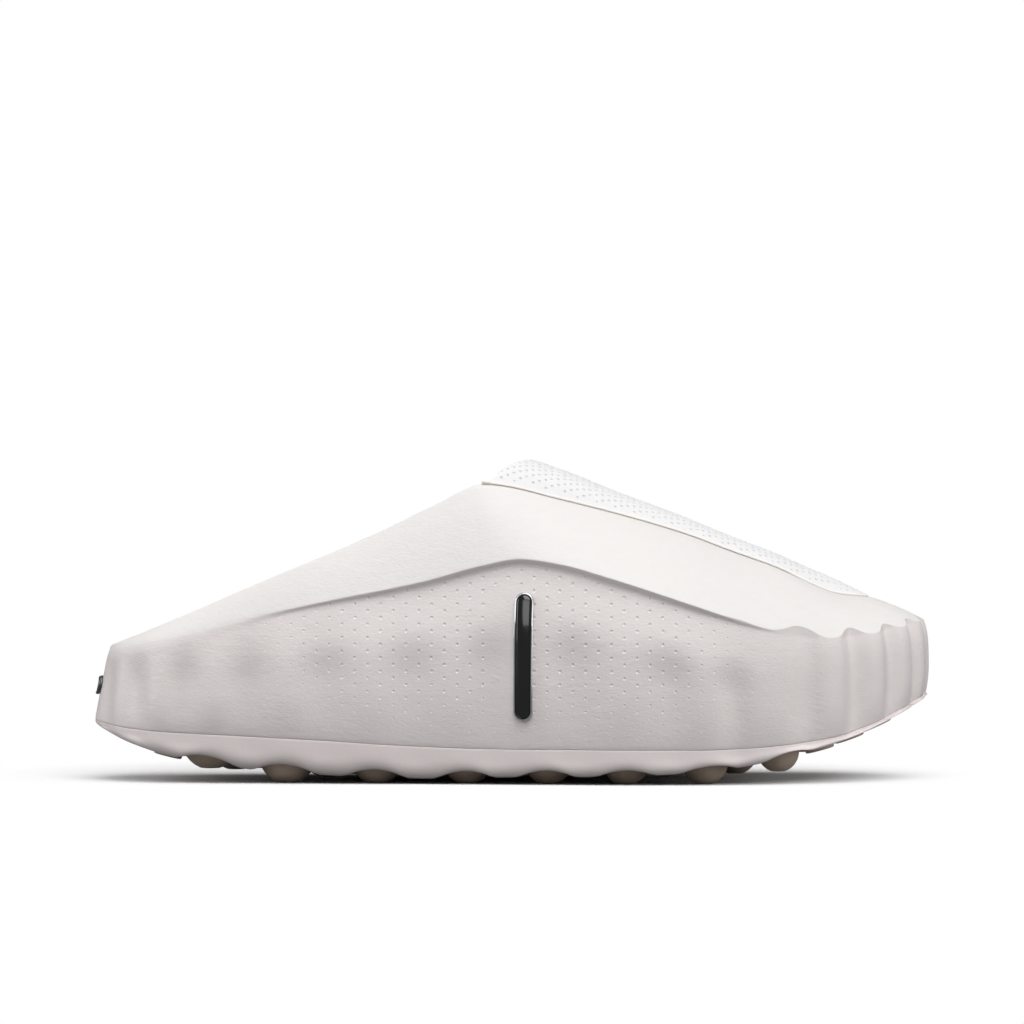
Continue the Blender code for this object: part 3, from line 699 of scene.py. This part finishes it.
def panelShape():
    half = aroundCount // 2
    first = int(np.argmax(shareAlong(shellTurns[:half]) >= panelSizes["lipPlace"]))
    index = np.arange(first, half + 1)
    across = index, (aroundCount - index) % aroundCount
    outer, inner = (besideMouth(shellTurns[n], -shoe["gap"]) for n in across)
    outer[-1] = inner[-1] = (outer[-1] + inner[-1]) / 2
    u = np.linspace(-1, 1, panelSizes["acrossSteps"] + 1)
    t = ((u + 1) / 2)[None, :, None]
    sheet = outer[:, None] * (1 - t) + inner[:, None] * t
    scoop = panelSizes["lipScoop"] * ((half - index) / (half - first)) ** 3
    sheet[:, :, 0] += scoop[:, None] * (1 - u * u)
    back, tip = mouthEdge(np.array([0.0, math.pi]))[:, 0]
    ridge = shoe["instepHeight"] * mouth["ridge"]((sheet[:, :, 0] - back) / (tip - back))
    full = 1 - np.abs(u) ** panelSizes["fullness"]
    sheet[:, :, 2] += (ridge - sheet[:, :, 2]) * full
    return sheet, u


def buildPanel():
    sheet, u = panelShape()
    wall, rollOut = panelSizes["wall"], panelSizes["lipRoll"]
    edgeDip = panelSizes["edgeDip"] * np.abs(u) ** 14  # the sheet's edge rolls down into the seam
    rings = []
    for a in np.linspace(math.pi / 2, 0, 9)[:-1]:
        top, bottom = sheet[0].copy(), sheet[0][::-1].copy()
        for points, sign in ((top, -1), (bottom, 1)):
            points[:, 0] -= rollOut * math.sin(a) * (1 - 0.7 * u * u)
            points[:, 2] += sign * wall / 2 * (1 - math.cos(a))
        top[:, 2] -= edgeDip * math.cos(a)
        bottom[:, 2] -= wall
        rings.append(np.concatenate([top, bottom]))
    for row in sheet:
        top, bottom = row.copy(), row[::-1].copy()
        top[:, 2] -= edgeDip
        bottom[:, 2] -= wall
        rings.append(np.concatenate([top, bottom]))
    count = len(rings[0])
    # the nose's first ring folds onto itself and the last meets at the tip, so welding closes both
    made = meshObject("instep_panel", np.concatenate(rings), gridFaces(len(rings), count), [knit, knitHoleShade])
    return tidyMesh(made, 50)


def flatSize():
    # width round the lip, length down the middle and area of the sheet as it is cut
    sheet, u = panelShape()
    over, down = np.diff(sheet, axis=1), np.diff(sheet, axis=0)
    area = np.linalg.norm(np.cross(over[:-1], down[:, :-1]), axis=2).sum()
    middle = len(u) // 2
    return np.linalg.norm(over[0], axis=1).sum(), np.linalg.norm(down[:, middle], axis=1).sum(), area


def meshHoleSizes(made):
    # no hole within 1.2 mm of the seam
    spots = np.array([tuple(v.co) for v in made.data.vertices])
    edge = mouthEdge(shellTurns)
    away = np.hypot(spots[:, None, 0] - edge[None, :, 0], spots[:, None, 1] - edge[None, :, 1])
    return ease(away.min(axis=1), 0.0012, 0.0024)


panel = buildPanel()
storeField(panel, "punched", meshHoleSizes(panel))
addNodesModifier(panel, punch, {
    "Column Pitch": panelSizes["holePitch"], "Row Pitch": panelSizes["holeRow"],
    "Hole Radius": panelSizes["holeRadius"], "Proud": panelSizes["holeProud"], "Columns": 64, "Rows": 30,
    "Lattice Turn": (0.0, 0.0, 0.0), "Lattice Middle": (0.066, 0.004, 0.2),
    "Ray": (0.0, 0.0, -1.0), "Hole Material": knitHoleShade})
bakeNodes(panel, 40)
print("instep panel", len(panel.data.polygons), "faces")
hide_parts("vamp_mesh")
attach(panel, "root")
flatWidth, flatLength, flatArea = flatSize()
print("panel cut from", round(flatWidth, 4), "x", round(flatLength, 4), "m, area", round(flatArea, 5))

# waxed cord: a tight matt thread, tan on the shell's side and white on the panel's; the white cord is whiter
# than the panel as a painted highlight along the panel's edge
pipingSizes = {
    "pathPoints": 260,
    "sides": 10,
    "endLength": 0.006,
    "white": {"radius": 0.00050, "endRadius": 0.00050, "outward": -0.00045, "lift": 0.00010},
    "tan": {"radius": 0.00023, "endRadius": 0.00075, "outward": 0.00016, "lift": -0.00016},
}
whiteCordHighlight = newMaterial("white piping cord, whiter as painted highlight", "#FDFCFA", 0.6)[0]
tanCord = newMaterial("tan edge cord", "#E4DCD2", 0.6)[0]


def cordTree(name):
    # a round cord along the points it is given, as thick as their own values say
    tree, given = newNodesTree(name, {"Sides": "Int", "Finish": "Material"})
    path = addNode(tree, "GeometryNodeMeshToCurve", {"Mesh": given["Geometry"]})
    thick = addNode(tree, "GeometryNodeInputNamedAttribute", {"Name": "thick"}, data_type="FLOAT")
    ring = addNode(tree, "GeometryNodeCurvePrimitiveCircle", {"Resolution": given["Sides"], "Radius": 1.0})
    tube = addNode(tree, "GeometryNodeCurveToMesh", {
        "Curve": path.outputs[0], "Profile Curve": ring.outputs[0],
        "Scale": thick.outputs[0], "Fill Caps": True})
    return finishTree(tree, tube.outputs[0], given["Finish"])


cord = cordTree("cord along a seam")


def buildPiping(name, sizes, finish):
    count = pipingSizes["pathPoints"]
    lipTurn = math.acos(1 - 2 * panelSizes["lipPlace"])
    turns = np.linspace(lipTurn, math.tau - lipTurn, count)
    points = besideMouth(turns, sizes["outward"])
    points[:, 2] += sizes["lift"]
    steps = np.concatenate([[0], np.cumsum(np.linalg.norm(np.diff(points, axis=0), axis=1))])
    fromEnd = np.minimum(steps, steps[-1] - steps)
    thicker = (sizes["endRadius"] - sizes["radius"]) * (1 - ease(fromEnd, 0, pipingSizes["endLength"]))
    made = meshObject(name, points, [], [])
    made.data.edges.add(count - 1)
    made.data.edges.foreach_set(
        "vertices", np.column_stack([np.arange(count - 1), np.arange(1, count)]).ravel())
    storeField(made, "thick", sizes["radius"] + thicker)
    addNodesModifier(made, cord, {"Sides": pipingSizes["sides"], "Finish": finish})
    bakeNodes(made, 180)
    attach(made, "root")


buildPiping("white_piping", pipingSizes["white"], whiteCordHighlight)
buildPiping("tan_piping", pipingSizes["tan"], tanCord)
print("piping laid along the seam")


soleSizes = {
    "lean": 0.70,
    "plugRise": 0.0055,
    "dishDepth": 0.0052,
    "dishAlong": 0.0140,
    "dishAcross": 0.0176,
    "edgeRound": 0.0003,
    "seamGap": 0.0001,
    "acrossSteps": 60,
}

# foamed EVA: smooth, faintly pink in the shade, a satin skin from the mould
foam, tree, shader = newMaterial("moulded foam sole", "#EBE2E1", 0.55)
roughen(tree, shader, 1 / 700, 3.0, 0.25)  # pores of about 0.5 mm, drawn at 1.4 mm

ballNames = [f"ball_{row}_{n}" for row in ("outer", "middle", "inner") for n in range(1, 9)]
ballBoxes = [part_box(name) for name in ballNames]
ballSpots = np.array([[(a[0] + b[0]) / 2, (a[1] + b[1]) / 2, a[2]] for a, b in ballBoxes])
ballRadii = np.array([(b[0] - a[0]) / 2 for a, b in ballBoxes])


def dishLift(x, y):
    # the underside is hollowed round every ball, wider across the foot than along it
    rest = np.ones(np.shape(x))
    for spot in ballSpots:
        q = np.hypot((x - spot[0]) / soleSizes["dishAlong"], (y - spot[1]) / soleSizes["dishAcross"])
        rest = rest * (1 - np.clip(1 - q * q, 0, 1) ** 1.3)
    return soleSizes["dishDepth"] * (1 - rest)


def buildSole():
    gap, foot = shoe["gap"], soleSizes["edgeRound"]
    rise = cut.seam - edgeHeight(cut.base[:, 0])
    dent = cut.depth * cut.trough
    low = soleSizes["lean"] * rise
    footReach = cut.wall(0.0)[0]
    rows = []
    for b in np.linspace(0, 1, 22) * math.pi / 2:
        s = 1 - math.cos(b)
        # the flutes run out towards the foot of the band
        fluted = 0.25 + (shellSizes["fluteSeamShare"] - 0.25) * ease(s, 0, 0.7)
        reach = low * (1 - math.sin(b)) + cut.tuck * ease(s, 0.0, 1.0) + dent * fluted
        points = cut.point(reach, 0.0)
        under, top = edgeHeight(points[:, 0]), cut.seamBelow(reach) - soleSizes["seamGap"]
        lift = dishLift(points[:, 0], points[:, 1]) * (1 - s) ** 1.2
        points[:, 2] = np.minimum(under + (top - foot - under) * s + lift, top - foot)
        rows.append(points)
    top = cut.seamBelow(footReach) - soleSizes["seamGap"]
    rows.append(cut.point(footReach + 0.25 * foot, top - 0.3 * foot))
    rows.append(cut.point(footReach + foot, top))
    rows.append(cut.point(cut.lining(0.0) + gap, top))
    rows.append(cut.besideLining(soleSizes["plugRise"], gap))
    points = np.concatenate(rows)
    faces = [tuple(f) for f in gridFaces(len(rows), aroundCount)]
    faces += stripFaces((len(rows) - 1) * aroundCount, aroundCount)
    # the underside, strip by strip across the foot
    half = aroundCount // 2
    t = np.linspace(0, 1, soleSizes["acrossSteps"] + 1)[None, :, None]
    index = np.arange(half + 1)
    outer, inner = rows[0][index], rows[0][(aroundCount - index) % aroundCount]
    across = outer[:, None] * (1 - t) + inner[:, None] * t
    across[:, 1:-1, 2] = edgeHeight(across[:, 1:-1, 0]) + dishLift(across[:, 1:-1, 0], across[:, 1:-1, 1])
    start = len(points)
    points = np.concatenate([points, across.reshape(-1, 3)])
    faces += [tuple(f + start) for f in gridFaces(half + 1, soleSizes["acrossSteps"] + 1, wrapColumns=False)]
    return tidyMesh(meshObject("rocker_sole", points, faces, [foam]), 50)


sole = buildSole()
print("sole", len(sole.data.polygons), "faces")
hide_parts("sole")
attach(sole, "root")


treadSizes = {
    "flat": 0.30,  # the ball's flat foot and its shank are shares of its radius
    "shank": 0.21,
    "sides": 32,
    "padThick": 0.0030,
    "padProud": 0.0013,
    "padBevel": 0.0006,
}

# solid rubber: matt, beige-brown, with a faint bloom in patches of about 4 mm
rubber, tree, shader = newMaterial("moulded tread rubber", "#B9A795", 0.62)
bloom = roughen(tree, shader, 1 / 260, 4.0, 0.3)
tint = addNode(tree, "ShaderNodeMix", {
    0: bloom, 6: hexColour("#B09C8A"), 7: hexColour("#C4B4A4")}, data_type="RGBA")
tree.links.new(tint.outputs[2], shader.inputs["Base Color"])


def scatterTree(name):
    # sets one model on every point, sized and tilted by the point's own values
    tree, given = newNodesTree(name, {"Model": "Object", "Finish": "Material"})
    model = addNode(tree, "GeometryNodeObjectInfo", {"Object": given["Model"]})
    size = addNode(tree, "GeometryNodeInputNamedAttribute", {"Name": "size"}, data_type="FLOAT")
    tilt = addNode(tree, "GeometryNodeInputNamedAttribute", {"Name": "tilt"}, data_type="FLOAT_VECTOR")
    turn = addNode(tree, "FunctionNodeEulerToRotation", {"Euler": tilt.outputs[0]})
    placed = addNode(tree, "GeometryNodeInstanceOnPoints", {
        "Points": given["Geometry"], "Instance": model.outputs["Geometry"],
        "Rotation": turn.outputs[0], "Scale": size.outputs[0]})
    return finishTree(tree, placed.outputs[0], given["Finish"])


def latheModel(name, profile, sides):
    # a round body from (radius, height) pairs, bottom to top, closed at both ends
    angles = np.arange(sides) * math.tau / sides
    points = np.concatenate([
        np.column_stack([r * np.cos(angles), r * np.sin(angles), np.full(sides, z)]) for r, z in profile])
    return tidyMesh(meshObject(name, points, gridFaces(len(profile), sides), []), 50)


def scatterPiece(name, tree, model, spots, sizes, tilts, finish):
    made = meshObject(name, spots, [], [])
    storeField(made, "size", sizes)
    storeField(made, "tilt", tilts, "FLOAT_VECTOR")
    addNodesModifier(made, tree, {"Model": model, "Finish": finish})
    bakeNodes(made, 50)
    bpy.data.objects.remove(model)
    return made


scatter = scatterTree("tread on its points")
flatAngle = math.asin(treadSizes["flat"])
worn = 1 - math.cos(flatAngle)
ballProfile = [(0.0, 0.004), (treadSizes["flat"] * 0.7, 0.0), (treadSizes["flat"], 0.006)] + [
    (math.sin(a), 1 - math.cos(a) - worn) for a in np.linspace(flatAngle + 0.08, math.pi / 2, 16)]
ballProfile += [(radius, 1 - worn + treadSizes["shank"]) for radius in (1.0, 0.0)]
ballModel = latheModel("ball_model", ballProfile, treadSizes["sides"])
balls = scatterPiece("tread_balls", scatter, ballModel, ballSpots, ballRadii, np.zeros((24, 3)), rubber)
print("tread balls", len(balls.data.polygons), "faces")
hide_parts(*ballNames)
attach(balls, "root")

padNames = [f"toe_pad_{n}" for n in range(1, 7)] + [f"heel_pad_{n}" for n in range(1, 4)]
padBoxes = [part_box(name) for name in padNames]
padSpots, padTilts = [], []
padRadii = np.array([(b[1] - a[1]) / 2 for a, b in padBoxes])
for (a, b), radius in zip(padBoxes, padRadii):
    ahead, across = (a[0] + b[0]) / 2, (a[1] + b[1]) / 2
    front, back = float(edgeHeight(ahead + radius)), float(edgeHeight(ahead - radius))
    padSpots.append((ahead, across, (front + back) / 2))
    padTilts.append((0, -math.atan2(front - back, 2 * radius), 0))
meanPad = float(padRadii.mean())
proud, thick, bevel = (treadSizes[k] / meanPad for k in ("padProud", "padThick", "padBevel"))
padProfile = [(0.0, -proud + 0.05), (0.55, -proud + 0.05), (0.62, -proud)]
padProfile += [(1 - bevel + bevel * math.sin(a), -proud + bevel * (1 - math.cos(a)))
               for a in np.linspace(0, 1, 5) * math.pi / 2]
padProfile += [(1.0, thick - proud), (0.0, thick - proud)]
padModel = latheModel("pad_model", padProfile, treadSizes["sides"])
pads = scatterPiece("tread_pads", scatter, padModel, padSpots, padRadii, padTilts, rubber)
print("tread pads", len(pads.data.polygons), "faces")
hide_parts(*padNames)
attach(pads, "root")


insoleSizes = {"thickness": 0.0045, "cup": 0.0020, "dish": 0.0090}


def buildInsole():
    gap = shoe["gap"]
    start = soleSizes["plugRise"] + gap
    tall, cup, dish = insoleSizes["thickness"], insoleSizes["cup"], insoleSizes["dish"]
    steps = [(0.0, dish), (0.0, 0.0), (0.5 * (tall + cup), 0.0), (tall + 0.85 * cup, 0.0)]
    steps += [(tall + cup * (1 - ease(a, 0.12, 1.0)) - 0.15 * cup * (1 - ease(a, 0, 0.12)), dish * a)
              for a in np.linspace(0.05, 1, 10)]
    rows = [cut.besideLining(start + lift, 2 * gap + inset) for lift, inset in steps]
    points = np.concatenate(rows)
    faces = [tuple(f) for f in gridFaces(len(rows), aroundCount)]
    faces += stripFaces(0, aroundCount) + stripFaces((len(rows) - 1) * aroundCount, aroundCount)
    return tidyMesh(meshObject("cushioned_insole", points, faces, [lining]), 50)


insole = buildInsole()
print("insole", len(insole.data.polygons), "faces")
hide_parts("insole")
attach(insole, "root")


badgeSizes = {
    "side": {"turn": math.acos(-0.0036 / 0.153), "width": 0.0070, "height": 0.0460, "middle": 0.0460},
    "heel": {"turn": 0.0, "width": 0.0160, "height": 0.0066, "middle": 0.0345},
}
mm = 0.001

# electroplated bright chrome, a clear dark gloss on the enamel, and brushed gunmetal at the heel
chrome = newMaterial("polished chrome", "#C9CACC", 0.12, Metallic=1.0)[0]
enamel = newMaterial("black domed enamel", "#060607", 0.16, Coat_Weight=0.6)[0]
gunmetal = newMaterial("brushed gunmetal", "#6B6C6E", 0.34, Metallic=1.0)[0]


def capsuleRing(width, height, inset):
    long, short = max(width, height), min(width, height)
    radius, straight = short / 2 - inset, (long - short) / 2
    ring = []
    for side in (1, -1):
        ring += [(side * (straight + radius * math.cos(a)), side * radius * math.sin(a))
                 for a in (math.pi * (k / 16 - 0.5) for k in range(17))]
        ring += [(side * straight * (1 - 2 * k / 30), side * radius) for k in range(1, 30)]
    ring = ring[8:] + ring[:8]
    return [(b, a) if height > width else (a, b) for a, b in ring]


def buildBadge(name, spec, steps, materials):
    turn = np.array([spec["turn"]])
    along = Vector((*(footprint(turn + 0.01) - footprint(turn - 0.01))[0], 0)).normalized()
    inward = Vector((0, 0, 1)).cross(along)
    start = Vector((*footprint(turn)[0], 0))
    points, slots = [], []
    for inset, proud, slot in steps:
        ring = capsuleRing(spec["width"], spec["height"], inset * mm)
        for x, z in ring:
            origin = start - inward * 0.01 + along * x + Vector((0, 0, spec["middle"] + z))
            hit = smoothWall.ray_cast(origin, inward)[0]
            points.append(hit - inward * (shoe["gap"] + proud * mm))
        slots += [slot] * len(ring)
    count = len(ring)
    faces = [tuple(f) for f in gridFaces(len(steps), count)]
    slots = slots[count:]
    for first, slot in ((0, steps[0][2]), ((len(steps) - 1) * count, steps[-1][2])):
        caps = stripFaces(first, count)
        faces += caps
        slots += [slot] * len(caps)
    return tidyMesh(meshObject(name, points, faces, materials, slots), 35)


# a badge's outline from the wall outwards: inset and height in mm, and the material's slot
sideSteps = (
    (1.75, 0, 0), (0, 0, 0), (0, 0.85, 0), (0.06, 1.05, 0), (0.2, 1.2, 0), (0.4, 1.26, 0), (0.62, 1.2, 0),
    (0.76, 1.0, 0), (0.8, 0.8, 0), (0.86, 0.72, 1), (1.1, 0.98, 1), (1.7, 1.16, 1), (2.6, 1.28, 1),
    (3.3, 1.3, 1),
)
heelSteps = (
    (1.65, 0, 0), (0, 0, 0), (0, 0.8, 0), (0.1, 1.08, 0), (0.35, 1.26, 0), (0.7, 1.3, 0), (0.95, 1.12, 0),
    (1.2, 1.05, 0), (3.1, 1.1, 0),
)
sideBadge = buildBadge("side_capsule", badgeSizes["side"], sideSteps, [chrome, enamel])
heelBadge = buildBadge("heel_capsule", badgeSizes["heel"], heelSteps, [gunmetal])
for piece, node in ((sideBadge, "side_badge"), (heelBadge, "heel_badge")):
    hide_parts(node)
    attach(piece, "root")
print("badges set on the wall")


studio = {
    "worldLight": 0.24,
    "floorBounce": 0.24,
    "keyEnergy": 15.5,
    "frontEnergy": 4.6,
    "heelEnergy": 4.5,
    "toeEnergy": 3.2,
    "topEnergy": 2.2,
    "cameraDistance": 2.2,
    "cameraHeight": 0.0978,
    "viewWidth": 0.3754,
}

# the sweep is white to look at but throws back less light, like a white table with black flags beside it
floorMaterial, tree, shader = newMaterial("white studio sweep", "#FAFAFA", 0.9, Specular_IOR_Level=0.0)
path = addNode(tree, "ShaderNodeLightPath")
bounce = addNode(tree, "ShaderNodeMapRange", {
    "Value": path.outputs["Is Camera Ray"], "To Min": studio["floorBounce"]})
shade = addNode(tree, "ShaderNodeCombineColor", {channel: bounce.outputs[0] for channel in range(3)})
tree.links.new(shade.outputs[0], shader.inputs["Base Color"])
glow = addNode(tree, "ShaderNodeEmission", {"Strength": bounce.outputs[0]})
place = addNode(tree, "ShaderNodeTexCoord").outputs["Object"]
squeezed = addNode(tree, "ShaderNodeMapping", {
    "Vector": place, "Location": (0.016, -0.05, 0.0), "Scale": (1.0, 1.2, 1.0)})
distance = addNode(tree, "ShaderNodeVectorMath", {0: squeezed.outputs[0]}, operation="LENGTH")
far = addNode(tree, "ShaderNodeMapRange", {
    "Value": distance.outputs["Value"], "From Min": 0.125, "From Max": 0.195},
    interpolation_type="SMOOTHSTEP")
mixed = addNode(tree, "ShaderNodeMixShader", {0: far.outputs[0], 1: shader.outputs[0], 2: glow.outputs[0]})
tree.links.new(mixed.outputs[0], tree.nodes["Material Output"].inputs["Surface"])
corners = [(-6, -6, 0), (6, -6, 0), (6, 6, 0), (-6, 6, 0)]
floor = meshObject("floor", corners, [(0, 1, 2, 3)], [floorMaterial])

world = bpy.data.worlds.new("white studio")
bpy.context.scene.world = world
world.use_nodes = True
tree = world.node_tree
soft = addNode(tree, "ShaderNodeBackground", {"Strength": studio["worldLight"]})
seen = addNode(tree, "ShaderNodeBackground", {"Strength": 1.0})
for node in (soft, seen):
    node.inputs["Color"].default_value = (1, 1, 1, 1)
path = addNode(tree, "ShaderNodeLightPath")
both = addNode(tree, "ShaderNodeMixShader", {
    0: path.outputs["Is Camera Ray"], 1: soft.outputs[0], 2: seen.outputs[0]})
tree.links.new(both.outputs[0], tree.nodes["World Output"].inputs["Surface"])


def softBox(name, spot, target, size, energy):
    light = bpy.data.lights.new(name, "AREA")
    light.shape, light.size, light.size_y, light.energy = "RECTANGLE", size[0], size[1], energy
    made = bpy.data.objects.new(name, light)
    made.location = spot
    made.rotation_euler = (Vector(target) - Vector(spot)).to_track_quat("-Z", "Y").to_euler()
    bpy.context.scene.collection.objects.link(made)


softBox("top box", (0.05, 0.25, 1.3), (0, 0, 0.03), (1.4, 1.1), studio["topEnergy"])
softBox("key box", (0.15, -0.70, 1.5), (0.0, 0, 0.04), (1.2, 1.2), studio["keyEnergy"])
softBox("front box", (0.0, -1.6, 0.95), (0.0, 0, 0.05), (1.2, 0.6), studio["frontEnergy"])
softBox("heel box", (-1.2, -0.20, 0.50), (-0.1, 0, 0.05), (0.6, 0.8), studio["heelEnergy"])
softBox("toe box", (1.2, -0.45, 0.30), (0.1, 0, 0.05), (0.6, 0.5), studio["toeEnergy"])

lens = bpy.data.cameras.new("camera")
lens.sensor_width = 36.0
lens.lens = 36.0 * studio["cameraDistance"] / studio["viewWidth"]
lens.clip_start, lens.clip_end = 0.05, 30.0
camera = bpy.data.objects.new("camera", lens)
camera.location = (-0.0003, -studio["cameraDistance"], studio["cameraHeight"])
camera.rotation_euler = (math.pi / 2, 0, 0)
bpy.context.scene.collection.objects.link(camera)
bpy.context.scene.camera = camera
bpy.context.scene.view_settings.view_transform = "Standard"
print("stage, lights and camera set")
